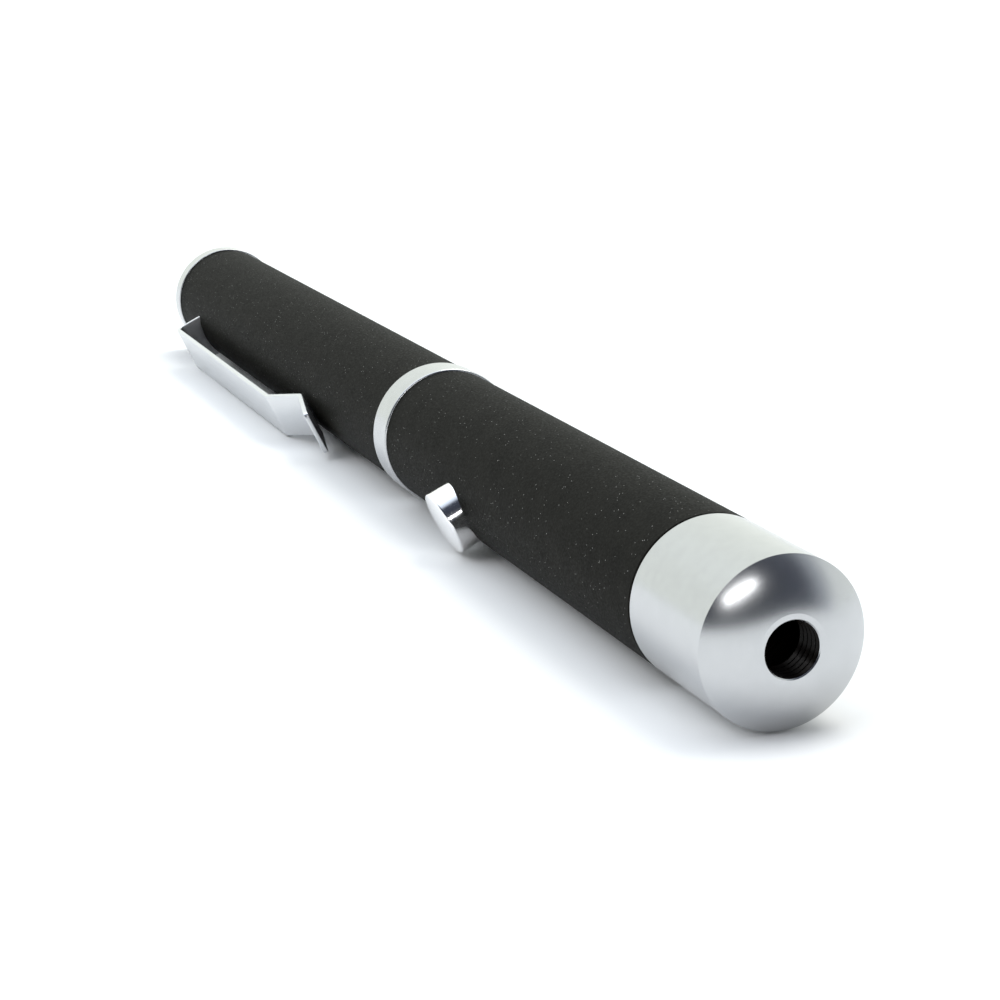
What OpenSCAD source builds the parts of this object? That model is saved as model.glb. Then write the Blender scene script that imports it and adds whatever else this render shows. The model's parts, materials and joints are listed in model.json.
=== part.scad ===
// Pen-shaped laser pointer for two AAA cells, resting on its barrel and clip.
// Millimetres. The beam leaves along +X, the origin is the middle of the aperture's mouth
// and +Z is up. Stations along the pen are negative x values, counted back from the mouth.

/* [Batteries and barrels] */
// Diameter of one cell
battery_d = 10.5; // [9:0.1:14]
// Length of one cell over its terminals
battery_len = 44.5; // [30:0.5:60]
// Radial clearance round the cells
battery_gap = 0.3; // [0.15:0.05:0.6]
// Wall thickness of the black barrels
barrel_wall = 0.95; // [0.75:0.05:1.6]
// Chamfer on the ends of the barrels
barrel_edge = 0.3; // [0.1:0.05:0.4]

/* [Nose] */
// Length of the straight part of the nose cap
nose_len = 11.6; // [9:0.1:16]
// Chamfer on the rear edge of the nose cap
nose_edge = 0.3; // [0.1:0.05:0.5]
// Height of the dome in front of the nose cap's crease
dome_h = 1.6; // [0.8:0.1:2.5]
// Diameter of the threaded aperture
aperture_d = 4.25; // [3:0.05:5]
// Depth of the aperture's thread
aperture_depth = 3; // [2:0.1:4]
// Width of the flat land round the aperture
aperture_land = 0.5; // [0.2:0.05:0.8]
// Length of the nose cap's spigot inside the front barrel
nose_spigot = 5.6; // [3:0.1:8]
// Wall thickness of that spigot
spigot_wall = 1.05; // [0.6:0.05:1.4]

/* [Laser module] */
// Length of the module's body behind the nose cap
module_len = 13.8; // [11:0.1:18]
// Distance from the crease back to the front of the module's neck
neck_setback = 7.4; // [6:0.1:9]
// Wall thickness of the module's neck
neck_wall = 0.85; // [0.6:0.05:1.2]
// Wall thickness of the lens cell
cell_wall = 0.85; // [0.6:0.05:1.2]
// Length of the lens cell
cell_len = 8.4; // [7:0.1:10]
// How far the lens cell stands out of the neck
cell_proud = 1.4; // [0.5:0.1:2.5]
// Thickness of the collimating lens at its rim
lens_rim = 1; // [0.6:0.1:1.6]
// Radius of the lens faces
lens_curve = 6; // [5:0.5:12]
// Thickness of the infrared filter
filter_t = 0.5; // [0.3:0.1:1]
// Diameter of the expanding lens
expander_d = 2.4; // [1.5:0.1:3]
// Thickness of the expanding lens
expander_t = 0.8; // [0.5:0.1:1.2]
// Width of the square crystal
crystal_w = 1; // [0.8:0.1:1.6]
// Length of the crystal
crystal_len = 3; // [2:0.1:4]
// Diameter of the diode's header
diode_d = 5.6; // [5:0.1:6]
// Thickness of the diode's header
diode_header = 1.2; // [0.8:0.1:1.6]
// Diameter of the diode's can
diode_can_d = 3.6; // [3:0.1:4]
// Length of the diode's can
diode_can_len = 2.3; // [1.5:0.1:3]
// Diameter of the circle that the diode's leads stand on
lead_circle = 2.54; // [2:0.02:2.6]
// Thickness of one lead
lead_d = 0.45; // [0.3:0.05:0.6]

/* [Driver board] */
// Length of the board
board_len = 21.6; // [20:0.1:30]
// Thickness of the board
board_t = 1; // [0.6:0.1:1.6]
// Gap between the module and the board
board_gap = 1.5; // [1:0.1:4]
// Length of the leads' ends on the board
lead_lap = 3; // [1.5:0.1:4]
// Width of the push switch's square body
switch_w = 4.5; // [3.5:0.1:5]
// Diameter of the switch's plunger
plunger_d = 2.4; // [1.5:0.1:3]
// How far the plunger stands out of the switch
plunger_out = 0.45; // [0.4:0.05:0.8]
// Width of the trimmer's square body
trimmer_w = 3.2; // [2.5:0.1:4]
// Height of the trimmer's body
trimmer_h = 1.3; // [1:0.1:1.8]

/* [Button] */
// Diameter of the button
button_d = 6.1; // [4:0.1:7]
// How far the button's rim stands out of the barrel
button_out = 1.45; // [0.8:0.05:2.5]
// Height of the button's crown above its rim
button_crown = 0.3; // [0.1:0.05:0.8]
// Travel of the button
button_travel = 0.3; // [0.2:0.05:0.4]
// Clearance round the button
button_gap = 0.08; // [0.05:0.01:0.2]
// Width of the flange that keeps the button in
button_flange = 0.5; // [0.3:0.05:0.8]
// Thickness of that flange
flange_t = 0.5; // [0.4:0.05:0.8]
// Angle of the button below the horizontal
button_roll = 27; // [0:1:60]

/* [Coupling] */
// Width of the bright ring between the barrels
ring_w = 3.7; // [2:0.1:6]
// How far the bright ring and the tail cap stand proud of the barrels
ring_proud = 0.2; // [0.1:0.05:0.6]
// Wall thickness of the coupling's sleeves
sleeve_wall = 0.46; // [0.35:0.01:0.5]
// Length of the sleeve pressed into the front barrel
sleeve_grip = 8; // [5:0.1:9]
// Length of the threaded sleeve inside the rear barrel
thread_len = 5.5; // [4:0.1:8]
// Running clearance of the thread
thread_gap = 0.03; // [0.02:0.01:0.06]
// Distance from the contact disc back to the bright ring
contact_to_ring = 13.5; // [12:0.1:20]

/* [Contacts] */
// Thickness of the contact disc
disc_t = 0.8; // [0.5:0.1:1.2]
// Height of the front contact spring under load
contact_h = 1.1; // [1:0.1:2]
// Length of the tail spring under load
tail_spring_len = 9.1; // [6:0.1:14]
// Thickness of the tail spring's wire
tail_wire = 0.6; // [0.4:0.05:0.8]
// Radius of the tail spring's widest coil
tail_coil_r = 3.3; // [2.5:0.1:3.6]

/* [Tail] */
// Length of the tail cap's head
tail_len = 2.9; // [2:0.1:6]
// Length of the tail cap's spigot
tail_spigot = 2; // [1:0.1:4]
// Rounding of the tail cap's edge
tail_round = 0.8; // [0.3:0.1:1.5]

/* [Clip] */
// Thickness of the clip's sheet
clip_t = 0.5; // [0.3:0.05:0.7]
// Height of the clip's outer face above the barrel
clip_out = 2.9; // [2:0.1:4]
// Width of the clip at its root
clip_root_w = 5.5; // [3:0.1:7]
// Width of the clip at its tip
clip_tip_w = 5.1; // [2:0.1:7]
// Length of the clip from its root to its tip
clip_len = 56; // [35:0.5:65]
// Length of the clip from its foot to its tip
clip_lip = 6.7; // [3:0.1:9]
// Length of the slope down to the foot
clip_slope = 5.7; // [3:0.1:10]
// Height of the lip's outer face above the barrel, at the tip
clip_lip_out = 2; // [1:0.1:3]
// Radius of the clip's bends, to the middle of the sheet
clip_bend = 0.8; // [0.5:0.1:1.5]
// Radius of the corners at the clip's tip
clip_corner = 0.6; // [0.2:0.1:1.2]
// Clearance round the clip's tongue
clip_gap = 0.1; // [0.05:0.05:0.2]

/* [Hidden] */
$fn = 96;
over = 1;            // how far a cutting shape runs past what it cuts
fit = 0.02;          // clearance of pieces that are pressed or screwed together for good

// Radii
bore_r = battery_d / 2 + battery_gap;
barrel_r = bore_r + barrel_wall;
ring_r = barrel_r + ring_proud;
aperture_r = aperture_d / 2;
land_r = aperture_r + aperture_land;
chamber_r = bore_r - fit - spigot_wall;
neck_r = chamber_r - 0.15;
neck_bore_r = neck_r - neck_wall;
cell_r = neck_bore_r - fit;
lens_r = cell_r - cell_wall;
lens_stop_r = lens_r - 0.5;
lens_mid = sqrt(lens_curve * lens_curve - lens_r * lens_r) - lens_rim / 2;
lens_seat = sqrt(lens_curve * lens_curve - lens_stop_r * lens_stop_r) - lens_mid + fit;
module_bore_r = diode_d / 2 + 0.2;
sleeve_r = bore_r + sleeve_wall;
thread_bore_r = sleeve_r + thread_gap;

// Stations along the pen, from the mouth of the aperture backwards
crease_x = -dome_h;
seam_x = crease_x - nose_len;
spigot_x = seam_x - nose_spigot;
module_x = spigot_x - 0.4;
module_end = module_x - module_len;
neck_x = crease_x - neck_setback;
cell_x = neck_x + cell_proud;
cell_end = cell_x - cell_len;
neck_floor = cell_end - 2;
lens_x = cell_x - 2.4;
expander_x = neck_floor - 0.5;
module_bore_x = expander_x - expander_t - 1;
mount_len = crystal_len + 1.2;
mount_x = module_bore_x - 0.1;
can_x = mount_x - mount_len - 0.1;
header_x = can_x - diode_can_len;
header_end = header_x - diode_header;
board_x = module_end - board_gap;
board_end = board_x - board_len;
disc_x = board_end - 0.1;
button_x = disc_x + button_d / 2 + button_flange + 0.15;
contact_x = disc_x - disc_t;
cells_x = contact_x - contact_h;
cells_mid = cells_x - battery_len;
cells_end = cells_mid - battery_len;
ring_x = contact_x - contact_to_ring;
ring_end = ring_x - ring_w;
tail_seat = cells_end - tail_spring_len;
tail_x = tail_seat - tail_spigot;
tail_end = tail_x - tail_len;

// Heights above the axis in the button's direction
board_top = lead_circle / 2 * sin(44) - lead_d / 2 - 0.01;
board_low = board_top - board_t;
board_w = 2 * sqrt(pow(bore_r - 0.15, 2) - pow(max(abs(board_top), abs(board_low)), 2));
flange_r = button_d / 2 + button_flange;
flange_top = sqrt(bore_r * bore_r - flange_r * flange_r) - 0.07;
flange_low = flange_top - flange_t;
switch_top = flange_low - plunger_out;
plunger_low = switch_top - 2 * button_travel;
plunger_r = plunger_d / 2;
rim_top = barrel_r + button_out;
crown_r = (pow(button_d / 2, 2) + pow(button_crown, 2)) / (2 * button_crown);

// The clip lies in the plane through the axis at clip_roll below the horizontal. It is
// rolled until the lower edge of its root touches the plane that the bright ring rests on.
clip_high = barrel_r + clip_out;
clip_corner_h = norm([clip_high, clip_root_w / 2]);
clip_roll = asin(ring_r / clip_corner_h) - atan(clip_root_w / 2 / clip_high);
clip_mid = clip_high - clip_t / 2;
clip_x = cells_end - 0.65 - clip_t / 2;
clip_tip_x = clip_x + clip_len;
clip_foot_x = clip_tip_x - clip_lip;
clip_foot_h = barrel_r + clip_t / 2 + fit;
clip_slope_x = clip_foot_x - clip_slope;
clip_tip_h = barrel_r + clip_lip_out - clip_t / 2;
tongue_h = sqrt(pow(bore_r - clip_gap, 2) - pow(clip_root_w / 2, 2)) - clip_t / 2;
tongue_x = tail_seat + 0.2;
bush_x = clip_x - clip_t / 2 - clip_gap;
hinge_x = clip_x + clip_bend + clip_t;

// ---- shapes that repeat ----

// A solid of revolution about the pen's axis: x of the profile is the radius, y the station
module lathe() {
    rotate([0, 90, 0]) rotate_extrude() children();
}

// A profile's rectangle between two radii and two stations
module band(r1, r2, x1, x2) {
    translate([r1, min(x1, x2)]) square([r2 - r1, abs(x2 - x1)]);
}

// A round bar along the axis between two stations
module rod(x1, x2, r) {
    translate([min(x1, x2), 0, 0]) rotate([0, 90, 0]) cylinder(h = abs(x2 - x1), r = r);
}

// Turns +Z to the direction that lies at an angle below the horizontal, on the -Y side
module aim(below) {
    rotate([90 + below, 0, 0]) children();
}

// A box given by its middle station, its middle across, its size and the height of its base
module chip(x, y, low, size) {
    translate([x - size[0] / 2, y - size[1] / 2, low]) cube(size);
}

// Profile of a tube whose outer ends are chamfered
module tube_profile(r_in, r_out, x1, x2, edge) {
    polygon([
        [r_in, x2], [r_out - edge, x2], [r_out, x2 + edge],
        [r_out, x1 - edge], [r_out - edge, x1], [r_in, x1]
    ]);
}

function unit(v) = v / norm(v);

// The points of an arc that rounds the corner b of the path a, b, c
function round_corner(a, b, c, r, n) =
    let (u = unit(a - b), w = unit(c - b), half = acos(u * w) / 2)
    let (middle = b + unit(u + w) * r / sin(half), from = b + u * r / tan(half) - middle)
    let (to = b + w * r / tan(half) - middle, start = atan2(from[1], from[0]))
    let (turn = (atan2(to[1], to[0]) - start + 540) % 360 - 180)
    [for (i = [0:n]) middle + r * [cos(start + turn * i / n), sin(start + turn * i / n)]];

// A path with every inner corner rounded
function round_path(p, r, n) = concat(
    [p[0]],
    [for (i = [1:len(p) - 2]) each round_corner(p[i - 1], p[i], p[i + 1], r, n)],
    [p[len(p) - 1]]
);

// The outline of a sheet of thickness t that follows a path
function side_of(p, i) =
    let (d = unit(p[min(i + 1, len(p) - 1)] - p[max(i - 1, 0)])) [-d[1], d[0]];
function sheet_outline(p, t) = concat(
    [for (i = [0:len(p) - 1]) p[i] + side_of(p, i) * t / 2],
    [for (i = [len(p) - 1:-1:0]) p[i] - side_of(p, i) * t / 2]
);

// A coil spring along the axis from x1 to x2, whose coils go from radius r1 to r2
coil_steps = 18;
coil_sides = 6;
module coil(x1, x2, r1, r2, wire, turns) {
    steps = turns * coil_steps;
    low = min(x1, x2) + wire / 2;
    high = max(x1, x2) - wire / 2;
    points = [
        for (i = [0:steps], j = [0:coil_sides - 1])
            let (k = x1 < x2 ? i / steps : 1 - i / steps, a = 360 * i / coil_steps)
            let (b = 360 * j / coil_sides, r = r1 + (r2 - r1) * i / steps + wire / 2 * cos(b))
            [low + (high - low) * k + wire / 2 * sin(b), r * cos(a), r * sin(a)]
    ];
    last = steps * coil_sides;
    walls = [
        for (i = [0:steps - 1], j = [0:coil_sides - 1])
            let (a = i * coil_sides + j, b = i * coil_sides + (j + 1) % coil_sides)
            [a, b, b + coil_sides, a + coil_sides]
    ];
    faces = concat(
        walls,
        [[for (j = [coil_sides - 1:-1:0]) j]],
        [[for (j = [0:coil_sides - 1]) last + j]]
    );
    flipped = [for (f = faces) [for (k = [len(f) - 1:-1:0]) f[k]]];
    polyhedron(points, x1 < x2 ? faces : flipped, convexity = 10);
}

// ---- nose and front barrel ----

// Domed nose: a flat land round the aperture, then an arc that falls to the crease, where a
// very narrow shoulder is left
dome_r = barrel_r - 0.04;
dome_span = dome_r - land_r;
dome_arc = (dome_span * dome_span + dome_h * dome_h) / (2 * dome_h);

module nose_cap() {
    color("gainsboro") lathe() difference() {
        union() {
            polygon([
                [0, seam_x], [barrel_r - nose_edge, seam_x], [barrel_r, seam_x + nose_edge],
                [barrel_r, crease_x], [0, crease_x]
            ]);
            intersection() {
                translate([land_r, -dome_arc]) circle(r = dome_arc);
                band(land_r, barrel_r + over, 0, crease_x - 0.01);
            }
            band(0, land_r, 0, crease_x - over);
            band(0, bore_r - fit, seam_x + over, spigot_x);
        }
        band(0, aperture_r, over, -aperture_depth - over);
        polygon([
            [0, -aperture_depth], [aperture_r, -aperture_depth],
            [chamber_r, -aperture_depth - (chamber_r - aperture_r) / 2],
            [chamber_r, spigot_x - over], [0, spigot_x - over]
        ]);
    }
}

module front_barrel() {
    color([0.17, 0.17, 0.16]) difference() {
        lathe() difference() {
            tube_profile(bore_r, barrel_r, seam_x, ring_x, barrel_edge);
            band(0, sleeve_r + fit, ring_x + sleeve_grip + 0.1, ring_x - over);
        }
        aim(button_roll) translate([button_x, 0, 0])
            cylinder(h = barrel_r + over, r = button_d / 2 + button_gap);
    }
}

module coupling_ring() {
    color("silver") lathe() union() {
        tube_profile(bore_r, ring_r, ring_x, ring_end, 0.25);
        band(bore_r, sleeve_r, ring_x + sleeve_grip, ring_x - over);
        band(bore_r, sleeve_r, ring_end + over, ring_end - thread_len);
    }
}

// ---- laser module ----

module module_housing() {
    color("goldenrod") lathe() difference() {
        union() {
            tube_profile(0, bore_r - 0.05, module_x, module_end, 0.3);
            band(0, neck_r, neck_x, module_x - over);
        }
        band(0, neck_bore_r, neck_x + over, neck_floor);
        band(0, expander_d / 2 + fit, neck_floor + over, expander_x - expander_t);
        band(0, expander_d / 2 - 0.3, neck_floor + over, module_bore_x - over);
        band(0, module_bore_r, module_bore_x, module_end - over);
    }
}

module lens_cell() {
    color("khaki") lathe() difference() {
        tube_profile(lens_stop_r, cell_r, cell_x, cell_end, 0.2);
        band(0, lens_r + fit, cell_x + over, lens_x - lens_seat);
    }
}

module collimator_lens() {
    color([0.75, 0.85, 0.9, 0.6]) lathe() intersection() {
        translate([0, lens_x - lens_mid]) circle(r = lens_curve);
        translate([0, lens_x + lens_mid]) circle(r = lens_curve);
        band(0, lens_r, lens_x - lens_curve, lens_x + lens_curve);
    }
}

module lens_ring() {
    color("khaki") lathe() band(lens_stop_r, lens_r, cell_x - 0.5, lens_x + lens_seat);
}

module ir_filter() {
    filter_x = cell_end + filter_t + 1;
    color([0.6, 0.85, 0.8, 0.7]) rod(filter_x, filter_x - filter_t, lens_stop_r - fit);
}

module cell_spring() {
    color("silver") coil(neck_floor, cell_end, cell_r - 0.4, cell_r - 0.4, 0.4, 3);
}

module expander_lens() {
    color([0.75, 0.85, 0.9, 0.6]) difference() {
        rod(expander_x, expander_x - expander_t, expander_d / 2);
        translate([expander_x + expander_d - 0.3, 0, 0]) sphere(r = expander_d);
    }
}

module crystal_mount() {
    color("goldenrod") difference() {
        rod(mount_x, mount_x - mount_len, module_bore_r - fit);
        rod(mount_x + over, mount_x - 0.3, 1);
        translate([mount_x - mount_len / 2, 0, 0])
            cube([mount_len + over, crystal_w + 2 * fit, crystal_w + 2 * fit], center = true);
    }
}

module crystal() {
    color("plum") translate([mount_x - mount_len / 2, 0, 0])
        cube([crystal_len, crystal_w, crystal_w], center = true);
}

module pump_diode() {
    color("silver") lathe() difference() {
        union() {
            band(0, diode_d / 2, header_x, header_end);
            band(0, diode_can_d / 2, can_x, header_x - 0.1);
        }
        band(0, diode_can_d / 4, can_x + over, can_x - 0.25);
    }
}

module diode_leads() {
    color("gold") aim(button_roll)
        for (a = [44, 136, 270])
            translate([0, lead_circle / 2 * cos(a), lead_circle / 2 * sin(a)])
                rod(header_end, board_x - lead_lap, lead_d / 2);
}

module diode_ring() {
    color("goldenrod") lathe()
        band(lead_circle / 2 + 0.6, module_bore_r - fit, header_end - 0.1, header_end - 2.1);
}

// ---- driver board ----

module driver_board() {
    aim(button_roll) color("darkgreen")
        chip(board_x - board_len / 2, 0, board_low, [board_len, board_w, board_t]);
}

module switch_body() {
    aim(button_roll) color("dimgray") difference() {
        chip(button_x, 0, board_top, [switch_w, switch_w, switch_top - board_top]);
        translate([button_x, 0, plunger_low - button_travel - 0.05])
            cylinder(h = 2 * switch_top, r = plunger_r + 0.05);
    }
}

module switch_plunger() {
    aim(button_roll) color("firebrick") translate([button_x, 0, plunger_low])
        cylinder(h = flange_low - fit - plunger_low, r = plunger_r);
}

trimmer_x = board_x - 8.2;
rotor_r = trimmer_w / 2 - 0.45;

module trimmer_body() {
    aim(button_roll) color("royalblue") difference() {
        chip(trimmer_x, 0, board_top, [trimmer_w, trimmer_w, trimmer_h]);
        translate([trimmer_x, 0, board_top + trimmer_h - 0.6]) cylinder(h = 1, r = rotor_r + 0.05);
    }
}

module trimmer_rotor() {
    aim(button_roll) color("silver") translate([trimmer_x, 0, board_top + trimmer_h - 0.58])
        difference() {
            cylinder(h = 0.7, r = rotor_r);
            for (turn = [0, 90])
                rotate([0, 0, turn]) translate([-rotor_r * 0.8, -0.15, 0.4])
                    cube([rotor_r * 1.6, 0.3, 1]);
        }
}

module driver_chips() {
    aim(button_roll) color("black") {
        chip(board_x - 7, 0, board_low - 1.5, [4.9, 3.9, 1.5]);
        chip(board_x - 13.5, 1.9, board_low - 1.1, [2.9, 1.4, 1.1]);
    }
}

module capacitors() {
    aim(button_roll) color("peru") {
        chip(board_x - 12.3, 2.4, board_top, [3.2, 1.6, 1.6]);
        chip(board_x - 12.3, -2.4, board_top, [2, 1.25, 0.9]);
        chip(board_x - 4.6, 2.6, board_top, [2, 1.25, 0.9]);
        chip(board_x - 13.5, -2, board_low - 0.9, [2, 1.25, 0.9]);
    }
}

module resistors() {
    aim(button_roll) color("darkslategray") {
        for (step = [0:2])
            chip(board_x - 4.6 - 1.9 * step, -3.3, board_top, [1.25, 2, 0.5]);
        chip(board_x - 17.5, 0, board_low - 0.5, [2, 1.25, 0.5]);
    }
}

module contact_disc() {
    color("darkslategray") rod(disc_x, contact_x, bore_r - 0.05);
}

module contact_spring() {
    color("gold") coil(contact_x, cells_x + fit, 2.9, 1.2, 0.4, 3);
}

// ---- button ----

module button_cap() {
    aim(button_roll) color("silver") translate([button_x, 0, 0]) {
        rotate_extrude() difference() {
            union() {
                band(0, flange_r, flange_low, flange_top);
                intersection() {
                    band(0, button_d / 2, flange_top - 0.1, rim_top + button_crown);
                    translate([0, rim_top + button_crown - crown_r]) circle(r = crown_r);
                }
            }
            polygon([
                [button_d / 2 - 0.2, rim_top + over], [button_d / 2 + over, rim_top + over],
                [button_d / 2 + over, rim_top - 0.2 - over], [button_d / 2, rim_top - 0.2],
                [button_d / 2 - 0.2, rim_top + 0.04]
            ]);
        }
    }
}

// ---- batteries ----

cell_can_r = battery_d / 2 - 0.12;
cell_nub = 1;
cell_nub_r = 1.9;
cell_shoulder = 0.5;
cell_cap_r = 3;

// Each piece of a cell is given by the station of its positive terminal
module cell_can(x) {
    color("silver") lathe()
        tube_profile(0, cell_can_r, x - cell_nub - cell_shoulder, x - battery_len, 0.3);
}

module cell_wrap(x) {
    color([0.2, 0.32, 0.28]) lathe() difference() {
        tube_profile(0, battery_d / 2, x - cell_nub - 0.3, x - battery_len + 0.15, 0.3);
        band(0, cell_can_r + 0.01, x, x - battery_len - over);
    }
}

module cell_seal(x) {
    color("white") lathe()
        band(cell_cap_r + fit, cell_can_r - 0.5, x - cell_nub - 0.1, x - cell_nub - cell_shoulder);
}

module cell_cap(x) {
    color("lightgray") lathe() union() {
        band(0, cell_nub_r, x - fit, x - cell_nub);
        band(0, cell_cap_r, x - cell_nub + 0.1, x - cell_nub - cell_shoulder);
    }
}

module front_cell_can() cell_can(cells_x);
module front_cell_wrap() cell_wrap(cells_x);
module front_cell_seal() cell_seal(cells_x);
module front_cell_cap() cell_cap(cells_x);
module rear_cell_can() cell_can(cells_mid);
module rear_cell_wrap() cell_wrap(cells_mid);
module rear_cell_seal() cell_seal(cells_mid);
module rear_cell_cap() cell_cap(cells_mid);

// ---- rear barrel, tail and clip ----

module tail_spring() {
    color("silver") coil(tail_seat, cells_end - fit, tail_coil_r, 2, tail_wire, 6);
}

// The opening in the barrel's wall that the clip's root passes through. It is longer towards
// the tail, where the sheet bends into its tongue.
module clip_slot() {
    slot_front = clip_x + clip_t / 2 + clip_gap;
    slot_len = clip_t + 2 * clip_gap + clip_bend / 2;
    slot_w = clip_root_w + 2 * clip_gap;
    aim(clip_roll) translate([slot_front - slot_len, -slot_w / 2, 0])
        cube([slot_len, slot_w, barrel_r + over]);
}

module rear_barrel() {
    color([0.17, 0.17, 0.16]) difference() {
        lathe() difference() {
            tube_profile(bore_r, barrel_r, ring_end - thread_gap, tail_x, barrel_edge);
            band(0, thread_bore_r, ring_end + over, ring_end - thread_len - 0.5);
        }
        clip_slot();
    }
}

module tail_cap() {
    color("gainsboro") lathe() union() {
        band(0, ring_r - tail_round, tail_x, tail_end);
        band(0, ring_r, tail_x, tail_end + tail_round);
        intersection() {
            translate([ring_r - tail_round, tail_end + tail_round]) circle(r = tail_round);
            band(0, ring_r, tail_x, tail_end);
        }
        band(0, bore_r - fit, tail_seat, tail_x - 0.1);
    }
}

module clip_bush() {
    groove_w = clip_root_w + 2 * clip_gap;
    groove_h = tongue_h - clip_t / 2 - clip_gap;
    color("gray") difference() {
        lathe() band(tail_coil_r + tail_wire / 2 + 0.2, bore_r - fit, bush_x, tail_seat + fit);
        aim(clip_roll) translate([tail_seat - over, -groove_w / 2, groove_h])
            cube([bush_x - tail_seat + 2 * over, groove_w, bore_r]);
    }
}

// The clip from the side: along the pen is x, out from the axis is y
clip_path = [
    [tongue_x, tongue_h], [clip_x, tongue_h], [clip_x, clip_mid], [clip_slope_x, clip_mid],
    [clip_foot_x, clip_foot_h], [clip_tip_x, clip_tip_h]
];

// The clip from above: a taper with rounded corners at the tip
clip_outline = concat(
    [[clip_tip_x - clip_len - clip_t, clip_root_w / 2]],
    round_corner([clip_x, clip_root_w / 2], [clip_tip_x, clip_tip_w / 2], [clip_tip_x, 0],
        clip_corner, 6),
    round_corner([clip_tip_x, 0], [clip_tip_x, -clip_tip_w / 2], [clip_x, -clip_root_w / 2],
        clip_corner, 6),
    [
        [clip_tip_x - clip_len - clip_t, -clip_root_w / 2], [tongue_x, -clip_root_w / 2],
        [tongue_x, clip_root_w / 2]
    ]
);

module clip_sheet() {
    intersection() {
        rotate([90, 0, 0]) linear_extrude(height = 2 * clip_root_w, center = true)
            polygon(sheet_outline(round_path(clip_path, clip_bend, 8), clip_t));
        linear_extrude(height = clip_high + over) polygon(clip_outline);
    }
}

// The clip is one sheet. It is divided where its arm bends away from its root.
module clip_tongue() {
    color("lightgray") aim(clip_roll) intersection() {
        clip_sheet();
        translate([tongue_x - over, -clip_root_w, 0])
            cube([hinge_x - tongue_x + over, 2 * clip_root_w, 2 * clip_high]);
    }
}

module clip_arm() {
    color("lightgray") aim(clip_roll) intersection() {
        clip_sheet();
        translate([hinge_x, -clip_root_w, 0]) cube([clip_len, 2 * clip_root_w, 2 * clip_high]);
    }
}

nose_cap();
front_barrel();
coupling_ring();
module_housing();
lens_cell();
collimator_lens();
lens_ring();
ir_filter();
cell_spring();
expander_lens();
crystal_mount();
crystal();
pump_diode();
diode_leads();
diode_ring();
driver_board();
switch_body();
switch_plunger();
trimmer_body();
trimmer_rotor();
driver_chips();
capacitors();
resistors();
contact_disc();
contact_spring();
button_cap();
front_cell_can();
front_cell_wrap();
front_cell_seal();
front_cell_cap();
rear_cell_can();
rear_cell_wrap();
rear_cell_seal();
rear_cell_cap();
tail_spring();
rear_barrel();
tail_cap();
clip_bush();
clip_tongue();
clip_arm();
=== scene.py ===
"""Looks of a pen laser pointer: turned metal, coated barrels, a button and a sprung clip."""

import json
import math

import bmesh
import bpy
from bpy.props import FloatProperty, FloatVectorProperty, IntProperty, PointerProperty
from mathutils import Matrix, Vector


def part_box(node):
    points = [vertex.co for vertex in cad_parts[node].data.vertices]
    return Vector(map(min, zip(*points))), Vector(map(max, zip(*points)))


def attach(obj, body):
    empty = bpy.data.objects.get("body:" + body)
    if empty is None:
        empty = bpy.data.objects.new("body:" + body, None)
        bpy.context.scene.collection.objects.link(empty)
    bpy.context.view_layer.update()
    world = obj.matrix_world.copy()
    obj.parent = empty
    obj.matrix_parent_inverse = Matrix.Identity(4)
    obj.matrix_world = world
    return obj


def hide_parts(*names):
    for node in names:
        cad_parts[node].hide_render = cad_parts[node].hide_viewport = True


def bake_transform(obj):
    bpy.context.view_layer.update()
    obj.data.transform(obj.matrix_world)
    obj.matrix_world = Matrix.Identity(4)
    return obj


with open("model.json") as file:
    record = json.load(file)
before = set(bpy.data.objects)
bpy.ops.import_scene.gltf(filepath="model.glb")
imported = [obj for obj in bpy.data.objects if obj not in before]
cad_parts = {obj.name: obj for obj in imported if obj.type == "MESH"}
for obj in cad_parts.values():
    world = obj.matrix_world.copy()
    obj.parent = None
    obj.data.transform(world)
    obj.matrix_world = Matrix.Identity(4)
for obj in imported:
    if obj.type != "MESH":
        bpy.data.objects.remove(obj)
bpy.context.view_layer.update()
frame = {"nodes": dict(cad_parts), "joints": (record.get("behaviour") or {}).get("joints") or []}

bl_info = {
    "name": "Pen laser pointer",
    "version": (1, 0, 0),
    "blender": (4, 5, 0),
    "location": "View3D > Sidebar > Pen pointer",
    "description": "Builds the finished pieces of a pen laser pointer around its CAD frame",
    "category": "Object",
}

MM = 0.001
TURN = 2 * math.pi
ORIGIN = Vector((0, 0, 0))
ALONG = Vector((1, 0, 0))
SIDES = 128          # faces round a turned piece
BUTTON_SIDES = 96    # faces round the push button
ARC_STEPS = 5        # faces round a small edge radius
DOME_STEPS = 28      # faces from the dome's foot to its crease
COIL_STEPS = 30      # faces round one turn of a spring
CROWN_STEPS = 8      # faces from the button's middle to its rim
SHARP = 32           # degrees past which an edge stays crisp
GUARD = 0.15         # distance of a guard point from its arc, as a share of the radius
FIT = 0.02 * MM      # play between a piece and its seat
SMALL_EDGE = 0.1 * MM
SPRING_STEEL = (0.66, 0.66, 0.67)
GOLD = (0.86, 0.62, 0.25)
BRASS = (0.72, 0.5, 0.2)
# Near-black colour painted as the shade inside the aperture and on the parts seen through it
PAINTED_SHADE = (0.006, 0.0042, 0.003)
PAINTED_SHADE_SHINE = 0.12   # specular level of the near-black painted shade

# The camera looks along the pen from in front of its nose, a little above it
CAMERA_PLACE = Vector((0.12896, -0.0708, 0.0485))
CAMERA_RIGHT = Vector((0.3562, 0.9344, 0))
CAMERA_BACK = Vector((0.9045, -0.3448, 0.2511))

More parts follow.
